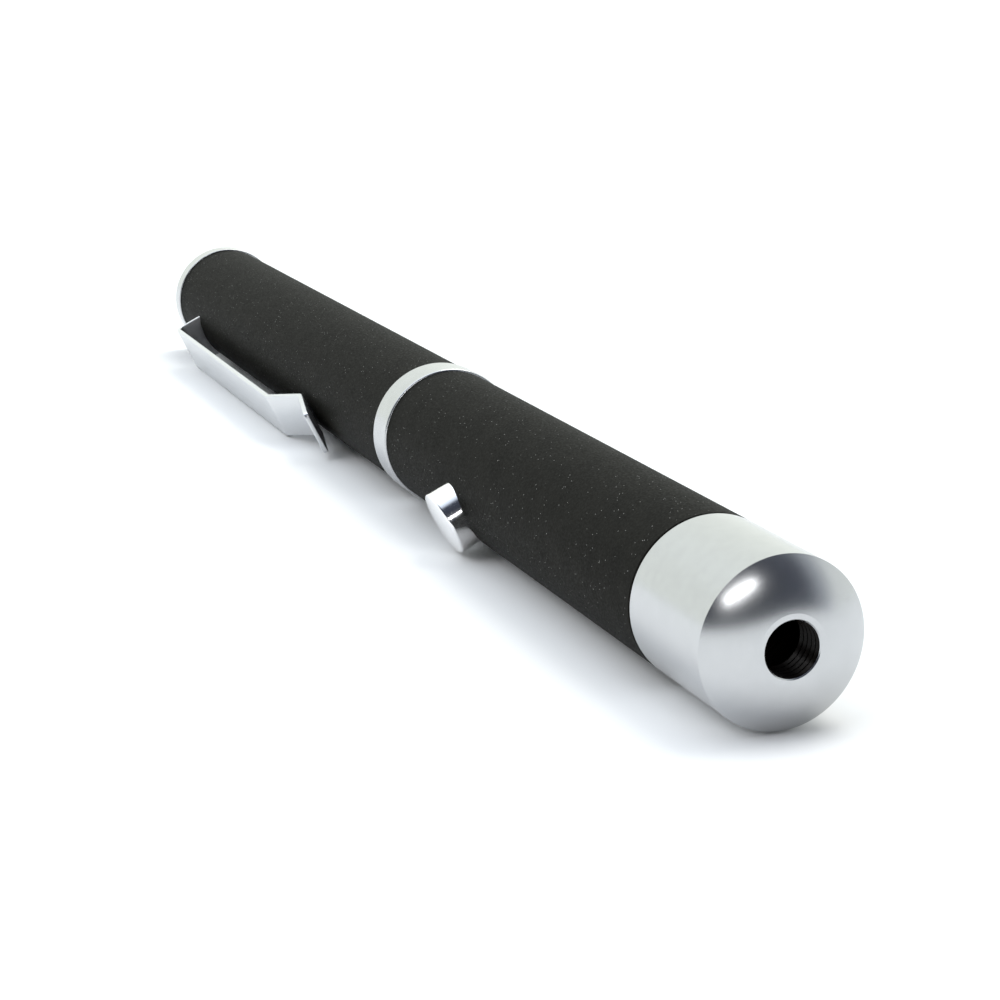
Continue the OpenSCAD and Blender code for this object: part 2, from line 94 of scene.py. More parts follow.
# Shades of the surroundings, by their share of the way from a direction's far side to it
OVERHEAD = (-0.25, -0.35, 0.903)
WALLS = (
    (0.0, (1.24, 1.3, 1.22)), (0.55, (1.1, 1.15, 1.14)), (0.66, (0.5, 0.54, 0.6)),
    (0.76, (0.07, 0.08, 0.11)), (1.0, (0.03, 0.035, 0.05)),
)
CEILING = (
    (0.0, (0, 0, 0)), (0.88, (0, 0, 0)), (0.96, (0.85, 0.95, 1.1)), (1.0, (0.95, 1, 1.1)),
)


# ---- stations and radii, from the frame --------------------------------------------------

def rear_of(node):
    """Station of a node's rear end."""
    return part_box(node)[0].x


def front_of(node):
    """Station of a node's front end."""
    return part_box(node)[1].x


def radius_of(node):
    """Outer radius of a node turned about the pen's axis."""
    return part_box(node)[1].z


SEAM = front_of("front_barrel")
RING_FRONT = rear_of("front_barrel")
RING_REAR = front_of("rear_barrel")
TAIL_SEAM = rear_of("rear_barrel")
BARREL_R = radius_of("front_barrel")
RING_R = radius_of("coupling_ring")
CELL_R = radius_of("front_cell_wrap")
BUTTON_STATION = (rear_of("button_cap") + front_of("button_cap")) / 2


def axis_of(joint):
    """Axis of a named joint."""
    return Vector(next(item["axis"] for item in frame["joints"] if item["name"] == joint))


def below_horizontal(angle):
    """Direction square to the pen that lies at an angle below the horizontal, on the -Y side."""
    return Vector((0, -math.cos(angle), -math.sin(angle)))


INWARD = axis_of("button_press")
ACROSS_CLIP = axis_of("clip_flex")
BUTTON_ROLL = math.atan2(INWARD.z, INWARD.y)
CLIP_ROLL = math.atan2(ACROSS_CLIP.y, -ACROSS_CLIP.z)


# ---- settings ----------------------------------------------------------------------------

def length(name, description, default):
    """A length in metres that the sidebar shows in the scene's unit."""
    return FloatProperty(
        name=name, description=description, default=default, min=0, unit="LENGTH", precision=5
    )


def colour(name, description, default):
    """A surface colour."""
    return FloatVectorProperty(
        name=name, description=description, default=default, size=3, min=0, max=1,
        subtype="COLOR",
    )


class NoseSettings(bpy.types.PropertyGroup):
    """Sizes of the nose cap."""

    dome: length("Dome", "Height of the dome in front of the crease", 1.6 * MM)
    aperture: length("Aperture", "Radius of the aperture at its thread's crests", 2.125 * MM)
    depth: length("Depth", "How far the aperture's thread goes in", 3 * MM)
    land: length("Land", "Width of the flat land round the aperture", 0.5 * MM)
    pitch: length("Pitch", "Pitch of the aperture's thread", 0.5 * MM)
    groove: length("Groove", "Depth of the aperture's thread form", 0.27 * MM)
    lip: length("Lip", "Bright lip round the aperture's mouth", 0.09 * MM)
    shoulder: FloatProperty(name="Shoulder", description="Slope of the dome where it starts",
                            default=math.radians(9), subtype="ANGLE")
    edge: length("Edge", "Radius of the cap's rear edge", 0.12 * MM)
    chamber: length("Chamber", "Radius of the chamber behind the aperture", 4.48 * MM)


class BarrelSettings(bpy.types.PropertyGroup):
    """Sizes of the barrels and of the screw coupling between them."""

    bore: length("Bore", "Radius of the bore that holds the cells", 5.55 * MM)
    edge: length("Edge", "Radius of the barrels' outer edges", 0.1 * MM)
    ring_edge: length("Ring edge", "Radius of the bright ring's edges", 0.18 * MM)
    sleeve: length("Sleeve", "Radius of the coupling's sleeves", 6.01 * MM)
    gap: length("Gap", "Running clearance of the coupling's thread", 0.03 * MM)
    grip: length("Grip", "Length of the sleeve inside the front barrel", 8 * MM)
    screw: length("Screw", "Length of the threaded sleeve", 5.5 * MM)
    pitch: length("Pitch", "Pitch of the coupling's thread", 0.6 * MM)
    groove: length("Groove", "Depth of the coupling's thread form", 0.16 * MM)
    tail_edge: length("Tail edge", "Radius of the tail cap's edge", 0.8 * MM)


class ButtonSettings(bpy.types.PropertyGroup):
    """Sizes of the push button."""

    roll: FloatProperty(name="Roll", description="Angle of the button below the horizontal",
                        default=BUTTON_ROLL, subtype="ANGLE")
    radius: length("Radius", "Radius of the button", 3.05 * MM)
    gap: length("Gap", "Clearance round the button", 0.08 * MM)
    flange: length("Flange", "Width of the flange that keeps the button in", 0.5 * MM)
    flange_low: length("Flange height", "Height of the flange's inner face", 3.696 * MM)
    flange_t: length("Flange thickness", "Thickness of the flange", 0.5 * MM)
    rim: length("Rim", "Height of the rim above the pen's axis", 7.95 * MM)
    crown: length("Crown", "Height of the crown above the rim", 0.3 * MM)
    edge: length("Edge", "Radius of the rim", 0.22 * MM)


class ClipSettings(bpy.types.PropertyGroup):
    """Sizes of the pocket clip."""

    roll: FloatProperty(name="Roll", description="Angle of the clip below the horizontal",
                        default=CLIP_ROLL, subtype="ANGLE")
    sheet: length("Sheet", "Thickness of the sheet", 0.5 * MM)
    height: length("Height", "Height of the clip's outer face above the barrel", 2.9 * MM)
    root: length("Root", "Width at the root", 5.5 * MM)
    tip: length("Tip", "Width at the tip", 5.1 * MM)
    lip: length("Lip", "Length from the foot to the tip", 6.7 * MM)
    slope: length("Slope", "Length of the slope down to the foot", 5.7 * MM)
    lip_height: length("Lip height", "Height of the lip's outer face above the barrel", 2 * MM)
    bend: length("Bend", "Radius of the bends, to the middle of the sheet", 0.8 * MM)
    corner: length("Corner", "Radius of the corners at the tip", 0.6 * MM)
    edge: length("Edge", "Radius of the sheet's edges", 0.09 * MM)
    cuts: IntProperty(name="Cuts", description="Cuts along the arm, which bends", default=16)


class FinishSettings(bpy.types.PropertyGroup):
    """Colours of the pen's visible finishes."""

    satin: colour("Satin metal", "Nose cap, ring and tail cap", (0.505, 0.512, 0.52))
    coat: colour("Coat", "Matt coat of the barrels", (0.0095, 0.0093, 0.0078))
    chrome: colour("Chrome", "Push button", (0.88, 0.88, 0.88))
    clip: colour("Clip steel", "Pocket clip", (0.66, 0.67, 0.68))
    wrap: colour("Cell wrap", "Film round the cells", (0.03, 0.1, 0.075))
    band: colour("Cell band", "Second colour of the cells' film", (0.55, 0.42, 0.16))


class StudioSettings(bpy.types.PropertyGroup):
    """Light, floor and camera."""

    sky: FloatProperty(name="Sky", description="Strength of the white surroundings", default=1.0)
    sun: FloatProperty(name="Sun", description="Strength of the wide soft light", default=1.3)
    box: FloatProperty(name="Box", description="Power of the soft box", default=0.5,
                       unit="POWER")
    fill: FloatProperty(name="Fill", description="Power of the fill light", default=1.2,
                        unit="POWER")
    lens: FloatProperty(name="Lens", description="Focal length in millimetres", default=79.97)


SETTINGS = {
    "pen_nose": NoseSettings,
    "pen_barrel": BarrelSettings,
    "pen_button": ButtonSettings,
    "pen_clip": ClipSettings,
    "pen_finish": FinishSettings,
    "pen_studio": StudioSettings,
}


# ---- outlines ----------------------------------------------------------------------------

def rounded(corners):
    """Outline through corners (station, radius) or (station, radius, edge radius).

    Each rounded corner is an arc between two guard points, which keep the long faces beside
    it evenly shaded.
    """
    outline = []
    count = len(corners)
    for i, corner in enumerate(corners):
        here = Vector(corner[:2])
        size = corner[2] if len(corner) > 2 else 0
        if not size:
            outline.append(here)
            continue
        back = (Vector(corners[i - 1][:2]) - here).normalized()
        ahead = (Vector(corners[(i + 1) % count][:2]) - here).normalized()
        half = back.angle(ahead) / 2
        middle = here + (back + ahead).normalized() * size / math.sin(half)
        first = here + back * size / math.tan(half) - middle
        last = here + ahead * size / math.tan(half) - middle
        sweep = first.angle_signed(last)
        outline.append(middle + first + back * size * GUARD)
        for step in range(ARC_STEPS + 1):
            outline.append(middle + Matrix.Rotation(-sweep * step / ARC_STEPS, 2) @ first)
        outline.append(middle + last + ahead * size * GUARD)
    return outline


def arc(middle, size, start, stop, steps):
    """Points of an arc, with its angles counted from the way the beam leaves."""
    return [
        (middle[0] + size * math.cos(start + (stop - start) * i / steps),
         middle[1] + size * math.sin(start + (stop - start) * i / steps))
        for i in range(steps + 1)
    ]


def thread(start, stop, crest, root, pitch):
    """Thread form between two stations, from crest to root and back at every pitch."""
    turns = max(1, int(abs(stop - start) / pitch))
    step = (stop - start) / turns
    form = ((0.1, crest), (0.42, root), (0.58, root), (0.9, crest))
    return [
        (start + (i + share) * step, height) for i in range(turns) for share, height in form
    ]


# ---- making pieces -----------------------------------------------------------------------

def piece_from(bm, name, finish, sharp=SHARP):
    """Turns a bmesh into a smooth-shaded piece whose hard edges stay crisp."""
    mesh = bpy.data.meshes.new(name)
    bm.to_mesh(mesh)
    bm.free()
    mesh.materials.append(finish)
    mesh.shade_smooth()
    mesh.set_sharp_from_angle(angle=math.radians(sharp))
    piece = bpy.data.objects.new(name, mesh)
    bpy.context.scene.collection.objects.link(piece)
    return piece


def turned(name, outline, finish, place=None, sides=SIDES):
    """A solid of revolution of a closed outline (station, radius), about X or about place's X."""
    bm = bmesh.new()
    points = [bm.verts.new((point[0], 0, point[1])) for point in outline]
    edges = [bm.edges.new((points[i - 1], points[i])) for i in range(len(points))]
    bmesh.ops.spin(bm, geom=points + edges, cent=ORIGIN, axis=ALONG, angle=TURN, steps=sides,
                   use_merge=True)
    bmesh.ops.remove_doubles(bm, verts=bm.verts, dist=1e-7)
    bmesh.ops.dissolve_degenerate(bm, dist=1e-8, edges=bm.edges)
    bmesh.ops.recalc_face_normals(bm, faces=bm.faces)
    if place:
        bmesh.ops.transform(bm, matrix=place, verts=bm.verts)
    return piece_from(bm, name, finish)


def coiled(name, start, radii, wire, turns, stop, finish, closed=False):
    """A coil spring along the pen, from start to stop, with closed end turns if asked."""
    bm = bmesh.new()
    facing = Matrix.Translation((start + wire / 2, 0, radii[0] - wire / 2))
    facing = facing @ Matrix.Rotation(math.pi / 2, 4, "X")
    bmesh.ops.create_circle(bm, segments=10, radius=wire / 2, matrix=facing)
    last = bm.edges[:]
    reach = stop - start - wire
    runs = [(turns, reach / turns)]
    if closed:
        ends = 1.04 * wire
        runs = [(1, ends), (turns - 2, (reach - 2 * ends) / (turns - 2)), (1, ends)]
    for count, pitch in runs:
        made = bmesh.ops.spin(bm, geom=last, cent=ORIGIN, axis=ALONG, angle=TURN * count,
                              dvec=ALONG * pitch / COIL_STEPS, steps=COIL_STEPS * count)
        last = [item for item in made["geom_last"] if isinstance(item, bmesh.types.BMEdge)]
    narrowing = (radii[1] - radii[0]) / reach
    for vert in bm.verts:
        across = Vector((0, vert.co.y, vert.co.z))
        travelled = min(max(vert.co.x - start - wire / 2, 0), reach)
        vert.co += across.normalized() * narrowing * travelled
    bmesh.ops.holes_fill(bm, edges=[e for e in bm.edges if e.is_boundary])
    bmesh.ops.recalc_face_normals(bm, faces=bm.faces)
    return piece_from(bm, name, finish, sharp=60)


def settle(piece):
    """Applies a piece's modifiers, so that its mesh is its final shape."""
    seen = piece.evaluated_get(bpy.context.evaluated_depsgraph_get())
    made = bpy.data.meshes.new_from_object(seen)
    bare = piece.data
    piece.modifiers.clear()
    piece.data = made
    bpy.data.meshes.remove(bare)
    made.name = piece.name
    made.shade_smooth()
    made.set_sharp_from_angle(angle=math.radians(SHARP))


def cut_away(piece, cutter):
    """Takes one shape out of a piece and removes the cutting shape."""
    cut = piece.modifiers.new("Cut", "BOOLEAN")
    cut.operation = "DIFFERENCE"
    cut.solver = "EXACT"
    cut.object = cutter
    settle(piece)
    shape = cutter.data
    bpy.data.objects.remove(cutter)
    bpy.data.meshes.remove(shape)


def fitted(piece, body, slot, *nodes):
    """Puts a finished piece on its body in place of its CAD nodes."""
    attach(piece, body)
    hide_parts(*nodes)


def standing(roll, station):
    """Places a shape turned about X so that its axis stands out of the pen at a roll angle."""
    out = below_horizontal(roll)
    across = out.cross(ALONG)
    turn = Matrix((out, ALONG, -across)).transposed().to_4x4()
    return Matrix.Translation((station, 0, 0)) @ turn


# ---- finishes ----------------------------------------------------------------------------

def new_finish(name):
    """A material with its shader, its node tree and Object coordinates."""
    finish = bpy.data.materials.new(name)
    finish.use_nodes = True
    tree = finish.node_tree
    place = tree.nodes.new("ShaderNodeTexCoord").outputs["Object"]
    return finish, tree, tree.nodes["Principled BSDF"], place


def noise(tree, place, scale, detail=3.0, stretch=None):
    """Noise over the piece. Stretch squeezes it along an axis."""
    if stretch:
        mapping = tree.nodes.new("ShaderNodeMapping")
        mapping.inputs["Scale"].default_value = stretch
        tree.links.new(place, mapping.inputs["Vector"])
        place = mapping.outputs["Vector"]
    texture = tree.nodes.new("ShaderNodeTexNoise")
    texture.inputs["Scale"].default_value = scale
    texture.inputs["Detail"].default_value = detail
    tree.links.new(place, texture.inputs["Vector"])
    return texture.outputs["Fac"]


def spread(tree, value, low, high, start=0.3, stop=0.7):
    """A value carried from one range to another."""
    node = tree.nodes.new("ShaderNodeMapRange")
    node.inputs["From Min"].default_value = start
    node.inputs["From Max"].default_value = stop
    node.inputs["To Min"].default_value = low
    node.inputs["To Max"].default_value = high
    tree.links.new(value, node.inputs["Value"])
    return node.outputs["Result"]


def between(tree, value, first, second):
    """A colour that goes from the first to the second with a value."""
    ramp = tree.nodes.new("ShaderNodeValToRGB")
    for stop, shade in zip(ramp.color_ramp.elements, (first, second)):
        stop.color = (*shade, 1)
    tree.links.new(value, ramp.inputs["Fac"])
    return ramp.outputs["Color"]


def layered(tree, mask, under, over):
    """One colour laid over another where a mask is one."""
    mix = tree.nodes.new("ShaderNodeMix")
    mix.data_type = "RGBA"
    tree.links.new(mask, mix.inputs["Factor"])
    tree.links.new(under, mix.inputs[6])
    if isinstance(over, tuple):
        mix.inputs[7].default_value = (*over, 1)
    else:
        tree.links.new(over, mix.inputs[7])
    return mix.outputs[2]


def combined(tree, operation, first, second):
    """Two values added or multiplied."""
    node = tree.nodes.new("ShaderNodeMath")
    node.operation = operation
    node.use_clamp = True
    tree.links.new(first, node.inputs[0])
    tree.links.new(second, node.inputs[1])
    return node.outputs[0]


def roughen(tree, shader, height, depth):
    """Raises a surface by a height pattern, depth metres from low to high."""
    bump = tree.nodes.new("ShaderNodeBump")
    bump.inputs["Strength"].default_value = 1.0
    bump.inputs["Distance"].default_value = depth
    tree.links.new(height, bump.inputs["Height"])
    tree.links.new(bump.outputs["Normal"], shader.inputs["Normal"])


def shade_of(tone, factor):
    """A colour made lighter or darker."""
    return tuple(min(1.0, part * factor) for part in tone)


def grained(name, tone, metallic, gloss, scale, depth=2e-6, vary=0.12, stretch=None):
    """A finish with fine grain: its colour, gloss (low, high) and surface all vary a little."""
    finish, tree, shader, place = new_finish(name)
    shader.inputs["Metallic"].default_value = metallic
    coarse = noise(tree, place, scale / 12, stretch=stretch)
    fine = noise(tree, place, scale, stretch=stretch)
    tones = between(tree, spread(tree, coarse, 0, 1), shade_of(tone, 1 - vary),
                    shade_of(tone, 1 + vary))
    tree.links.new(tones, shader.inputs["Base Color"])
    tree.links.new(spread(tree, fine, *gloss), shader.inputs["Roughness"])
    roughen(tree, shader, fine, depth)
    return finish


def satin_metal():
    """Nickel-coloured metal with a fine blasted surface."""
    tone = bpy.context.scene.pen_finish.satin
    return grained("satin_metal", tone, 1.0, (0.22, 0.27), 12000, depth=0.25e-6, vary=0.02)


def barrel_coat():
    """Matt powdery coat with fine grain and a few bright specks."""
    tone = bpy.context.scene.pen_finish.coat
    finish, tree, shader, place = new_finish("barrel_coat")
    cloudy = noise(tree, place, 420, detail=4)
    grain = noise(tree, place, 5200, detail=4)
    tones = between(tree, spread(tree, cloudy, 0, 1), shade_of(tone, 0.85), shade_of(tone, 1.2))
    flecks = tree.nodes.new("ShaderNodeTexVoronoi")
    flecks.inputs["Scale"].default_value = 5600
    tree.links.new(place, flecks.inputs["Vector"])
    near = spread(tree, flecks.outputs["Distance"], 1, 0, 0.08, 0.24)
    parts = tree.nodes.new("ShaderNodeSeparateColor")
    tree.links.new(flecks.outputs["Color"], parts.inputs["Color"])
    rare = spread(tree, parts.outputs["Red"], 0, 1, 0.95, 0.96)
    specks = combined(tree, "MULTIPLY", near, rare)
    tree.links.new(layered(tree, specks, tones, (0.5, 0.5, 0.48)), shader.inputs["Base Color"])
    tree.links.new(spread(tree, grain, 0.5, 0.75), shader.inputs["Roughness"])
    shader.inputs["Specular IOR Level"].default_value = 0.04
    roughen(tree, shader, grain, 10e-6)
    return finish


def painted_shade_metal(name):
    """Near-black metal, painted shade inside the aperture that the beam passes through."""
    finish = grained(name, PAINTED_SHADE, 0.0, (0.2, 0.3), 3000, depth=0.4e-6)
    shader = finish.node_tree.nodes["Principled BSDF"]
    shader.inputs["Specular IOR Level"].default_value = PAINTED_SHADE_SHINE
    return finish


def chrome():
    """Bright plating with faint polishing marks."""
    tone = bpy.context.scene.pen_finish.chrome
    return grained("bright_chrome", tone, 1.0, (0.1, 0.16), 3000, depth=0.3e-6, vary=0.03)


def clip_steel():
    """Bright steel sheet, brushed lightly along its length."""
    tone = bpy.context.scene.pen_finish.clip
    return grained("clip_steel", tone, 1.0, (0.3, 0.4), 5000, depth=0.6e-6, vary=0.03,
                   stretch=(0.05, 1, 1))


def film_wrap():
    """Plastic film round a cell: a dark field and a lighter band towards the terminal."""
    look = bpy.context.scene.pen_finish
    finish, tree, shader, place = new_finish("cell_film")
    split = tree.nodes.new("ShaderNodeSeparateXYZ")
    tree.links.new(place, split.inputs["Vector"])
    first = band_edge(tree, split.outputs["X"], front_of("front_cell_wrap"))
    second = band_edge(tree, split.outputs["X"], front_of("rear_cell_wrap"))
    bands = combined(tree, "ADD", first, second)
    dust = noise(tree, place, 900)
    field = between(tree, spread(tree, dust, 0, 1), shade_of(look.wrap, 0.85),
                    shade_of(look.wrap, 1.15))
    stripe = between(tree, spread(tree, dust, 0, 1), shade_of(look.band, 0.92),
                     shade_of(look.band, 1.08))
    tree.links.new(layered(tree, bands, field, stripe), shader.inputs["Base Color"])
    tree.links.new(spread(tree, dust, 0.22, 0.34), shader.inputs["Roughness"])
    roughen(tree, shader, dust, 8e-6)
    return finish


def band_edge(tree, station, front):
    """One within the band behind a cell's front edge, else nought."""
    band = 11 * MM
    inside = tree.nodes.new("ShaderNodeMath")
    inside.operation = "COMPARE"
    inside.inputs[1].default_value = front - band / 2
    inside.inputs[2].default_value = band / 2
    tree.links.new(station, inside.inputs[0])
    return inside.outputs[0]


def clear_glass(name, tone, smooth=0.02):
    """Polished optical glass with a trace of haze."""
    finish, tree, shader, place = new_finish(name)
    haze = noise(tree, place, 2500)
    tones = between(tree, spread(tree, haze, 0, 1), shade_of(tone, 0.97), tone)
    tree.links.new(tones, shader.inputs["Base Color"])
    tree.links.new(spread(tree, haze, smooth, smooth * 2), shader.inputs["Roughness"])
    shader.inputs["Transmission Weight"].default_value = 1.0
    shader.inputs["IOR"].default_value = 1.5
    return finish


def brass_with_shaded_neck():
    """Turned brass whose neck, in front of the barrel's bore, is painted near-black as the shade
    seen through the aperture.
    """
    finish, tree, shader, place = new_finish("module_brass_with_painted_shade")
    split = tree.nodes.new("ShaderNodeSeparateXYZ")
    tree.links.new(place, split.inputs["Vector"])
    # Painted shade: the mask is nought on the neck, which shows through the aperture, and one on
    # the brass body behind it
    neck = rear_of("nose_cap") - 0.3 * MM
    body = spread(tree, split.outputs["X"], 0, 1, neck, neck - 0.05 * MM)
    lines = noise(tree, place, 4000, stretch=(1, 0.06, 0.06))
    tree.links.new(between(tree, body, PAINTED_SHADE, BRASS), shader.inputs["Base Color"])
    shader.inputs["Specular IOR Level"].default_value = PAINTED_SHADE_SHINE
    tree.links.new(body, shader.inputs["Metallic"])
    tree.links.new(spread(tree, lines, 0.22, 0.36), shader.inputs["Roughness"])
    roughen(tree, shader, lines, 1e-6)
    return finish


def solder_mask():
    """Green board with copper tracks showing faintly through its mask."""
    finish, tree, shader, place = new_finish("board_mask")
    tracks = tree.nodes.new("ShaderNodeTexBrick")
    tracks.inputs["Scale"].default_value = 420
    tracks.inputs["Color1"].default_value = (0.012, 0.11, 0.035, 1)
    tracks.inputs["Color2"].default_value = (0.01, 0.09, 0.03, 1)
    tracks.inputs["Mortar"].default_value = (0.05, 0.22, 0.07, 1)
    tracks.inputs["Mortar Size"].default_value = 0.03
    tree.links.new(place, tracks.inputs["Vector"])
    tree.links.new(tracks.outputs["Color"], shader.inputs["Base Color"])
    weave = noise(tree, place, 2600)
    tree.links.new(spread(tree, weave, 0.25, 0.4), shader.inputs["Roughness"])
    roughen(tree, shader, weave, 6e-6)
    return finish


def inner_finishes():
    """Finishes of the pieces inside the barrels, by CAD node."""
    brass = grained("turned_brass", BRASS, 1.0, (0.22, 0.36), 4000, stretch=(1, 0.06, 0.06))
    gold = grained("gold_plate", GOLD, 1.0, (0.15, 0.25), 5000)
    lens = clear_glass("lens_glass", (0.93, 0.97, 1.0))
    plastic = {
        "switch_body": ("switch_plastic", (0.03, 0.03, 0.03)),
        "switch_plunger": ("plunger_plastic", (0.62, 0.55, 0.42)),
        "trimmer_body": ("trimmer_plastic", (0.02, 0.07, 0.35)),
        "driver_chips": ("chip_plastic", (0.022, 0.022, 0.024)),
        "capacitors": ("capacitor_ceramic", (0.42, 0.26, 0.13)),
        "resistors": ("resistor_glaze", (0.03, 0.03, 0.035)),
        "contact_disc": ("disc_laminate", (0.03, 0.035, 0.03)),
        "clip_bush": ("bush_plastic", (0.06, 0.06, 0.06)),
    }
    # Painted shade: the lens cell and its ring, seen through the aperture, are painted near-black
    shade_paint = painted_shade_metal("painted_shade_neck")
    finishes = {
        "module_housing": brass_with_shaded_neck(), "lens_cell": shade_paint, "lens_ring": shade_paint,
        "crystal_mount": brass, "diode_ring": brass,
        "pump_diode": gold, "diode_leads": gold, "trimmer_rotor": gold,
        "collimator_lens": lens, "expander_lens": lens,
        "ir_filter": clear_glass("filter_glass", (0.55, 0.85, 0.8)),
        "crystal": clear_glass("crystal_glass", (0.9, 0.75, 0.95), 0.04),
        "driver_board": solder_mask(),
    }
    for node, (name, tone) in plastic.items():
        finishes[node] = grained(name, tone, 0.0, (0.4, 0.6), 4500, depth=5e-6)
    return finishes


# ---- operators ---------------------------------------------------------------------------

class PEN_OT_nose(bpy.types.Operator):
    """Turns the domed nose cap with its threaded aperture"""

    bl_idname = "pen.nose"
    bl_label = "Nose cap"

    def execute(self, context):
        size = context.scene.pen_nose
        bore = context.scene.pen_barrel.bore
        land = size.aperture + size.land
        span = BARREL_R - land
        chord = math.hypot(span, size.dome)
        lean = math.atan(size.dome / span)
        curve = chord / 2 / math.sin(lean - size.shoulder)
        top = -curve * math.cos(size.shoulder), land - curve * math.sin(size.shoulder)
        dome = arc(top, curve, size.shoulder, 2 * lean - size.shoulder, DOME_STEPS)[1:]
        foot = Vector((0, land))
        beside_foot = foot + (Vector(dome[0]) - foot) / 40
        funnel = -size.depth - (size.chamber - size.aperture) / 2
        spigot = rear_of("nose_cap")
        cap_end = SEAM + 0.05 * MM
        outline = rounded([
            (-size.lip, size.aperture), (0, size.aperture + size.lip),
            (0, size.aperture + 1.3 * size.lip), (0, land - FIT), foot, beside_foot, *dome,
            (cap_end, BARREL_R, size.edge), (cap_end, bore - FIT),
            (spigot, bore - FIT, SMALL_EDGE), (spigot, size.chamber),
            (funnel, size.chamber), (-size.depth, size.aperture),
            *thread(-size.depth, -size.lip, size.aperture, size.aperture + size.groove,
                    size.pitch),
        ])
        cap = turned("nose_shell", outline, satin_metal())
        # Second finish: near-black painted shade on the aperture's thread and the chamber behind
        # it
        cap.data.materials.append(painted_shade_metal("painted_shade_thread"))
        thread_r = size.aperture + size.groove
        for face in cap.data.polygons:
            reach = math.hypot(face.center.y, face.center.z)
            behind = face.center.x < -size.depth and reach < 1.001 * size.chamber
            face.material_index = int(behind or (face.center.x < -size.lip and reach < thread_r))
        fitted(cap, "front", "satin_metal", "nose_cap")
        return {"FINISHED"}


class PEN_OT_front_barrel(bpy.types.Operator):
    """Turns the front barrel and cuts the button's hole"""

    bl_idname = "pen.front_barrel"
    bl_label = "Front barrel"

    def execute(self, context):
        size = context.scene.pen_barrel
        button = context.scene.pen_button
        front = SEAM - 0.1 * MM
        counterbore = RING_FRONT + size.grip + 0.1 * MM
        seat = size.sleeve + FIT
        tube = turned("front_tube", rounded([
            (front, BARREL_R, size.edge), (front, size.bore), (counterbore, size.bore),
            (counterbore, seat), (RING_FRONT, seat),
            (RING_FRONT, BARREL_R, size.edge),
        ]), barrel_coat())
        hole = button.radius + button.gap
        cutter = turned("button_hole", [
            (0, 0), (2 * BARREL_R, 0), (2 * BARREL_R, hole), (0, hole)
        ], barrel_coat(), standing(button.roll, BUTTON_STATION))
        cut_away(tube, cutter)
        fitted(tube, "front", "black_coat", "front_barrel")
        return {"FINISHED"}


class PEN_OT_coupling(bpy.types.Operator):
    """Turns the bright ring with its pressed sleeve and its threaded sleeve"""

    bl_idname = "pen.coupling"
    bl_label = "Coupling ring"

    def execute(self, context):
        size = context.scene.pen_barrel
        rear = RING_REAR + size.gap
        grip_end = RING_FRONT + size.grip
        screw_end = rear - size.screw
        first_turn = screw_end + 0.3 * MM
        root = size.sleeve - size.groove
        ring = turned("ring_band", rounded([
            (RING_FRONT, RING_R, size.ring_edge), (RING_FRONT, size.sleeve),
            (grip_end, size.sleeve, SMALL_EDGE), (grip_end, size.bore),
            (screw_end, size.bore), (screw_end, root), (first_turn, size.sleeve),
            *thread(first_turn, rear - 0.7 * MM, size.sleeve, root, size.pitch),
            (rear - 0.6 * MM, root), (rear, root), (rear, RING_R, size.ring_edge),
        ]), satin_metal())
        fitted(ring, "front", "satin_metal", "coupling_ring")
        return {"FINISHED"}


class PEN_OT_rear_barrel(bpy.types.Operator):
    """Turns the rear barrel with its inner thread and cuts the clip's slot"""

    bl_idname = "pen.rear_barrel"
    bl_label = "Rear barrel"

    def execute(self, context):
        size = context.scene.pen_barrel
        clip = context.scene.pen_clip
        crest = size.sleeve + size.gap
        thread_end = RING_REAR + size.gap - size.screw - 0.5 * MM
        tube = turned("rear_tube", rounded([
            (TAIL_SEAM, BARREL_R, size.edge), (TAIL_SEAM, size.bore),
            (thread_end, size.bore), (thread_end, crest),
            *thread(thread_end, RING_REAR - 0.3 * MM, crest, crest + size.groove, size.pitch),
            (RING_REAR - 0.1 * MM, crest), (RING_REAR, crest + 0.1 * MM),
            (RING_REAR, BARREL_R, size.edge),
        ]), barrel_coat())
        gap = 0.1 * MM
        slot_front = front_of("clip_tongue") - clip.bend - clip.sheet / 2 + gap
        slot_rear = slot_front - clip.sheet - 2 * gap - clip.bend / 2
        bm = bmesh.new()
        bmesh.ops.create_cube(bm, size=1)
        shape = Matrix.Diagonal((BARREL_R * 2, slot_front - slot_rear, clip.root + 2 * gap, 1))
        lift = Matrix.Translation((BARREL_R, 0, 0))
        place = standing(clip.roll, (slot_front + slot_rear) / 2)
        bmesh.ops.transform(bm, matrix=place @ lift @ shape, verts=bm.verts)
        cut_away(tube, piece_from(bm, "clip_opening", barrel_coat()))
        fitted(tube, "rear", "black_coat", "rear_barrel")
        return {"FINISHED"}


class PEN_OT_tail(bpy.types.Operator):
    """Turns the tail cap and winds the tail spring"""

    bl_idname = "pen.tail"
    bl_label = "Tail cap and spring"

    def execute(self, context):
        size = context.scene.pen_barrel
        rear = rear_of("tail_cap")
        seat = front_of("tail_cap")
        face = TAIL_SEAM - 0.03 * MM
        cap = turned("tail_knob", rounded([
            (rear, 0), (rear, RING_R, size.tail_edge), (face, RING_R, 0.12 * MM),
            (face, size.bore - FIT), (seat, size.bore - FIT, SMALL_EDGE), (seat, 0),
        ]), satin_metal())
        fitted(cap, "rear", "satin_metal", "tail_cap")
        wire = 0.6 * MM
        start, stop = rear_of("tail_spring"), front_of("tail_spring")
        steel = grained("spring_wire", SPRING_STEEL, 1.0, (0.16, 0.28), 6000)
        spring = coiled("tail_coil", start, (3.6 * MM, 2.3 * MM), wire, 7, stop, steel, True)
        fitted(spring, "tail_contact", "spring_steel", "tail_spring")
        return {"FINISHED"}


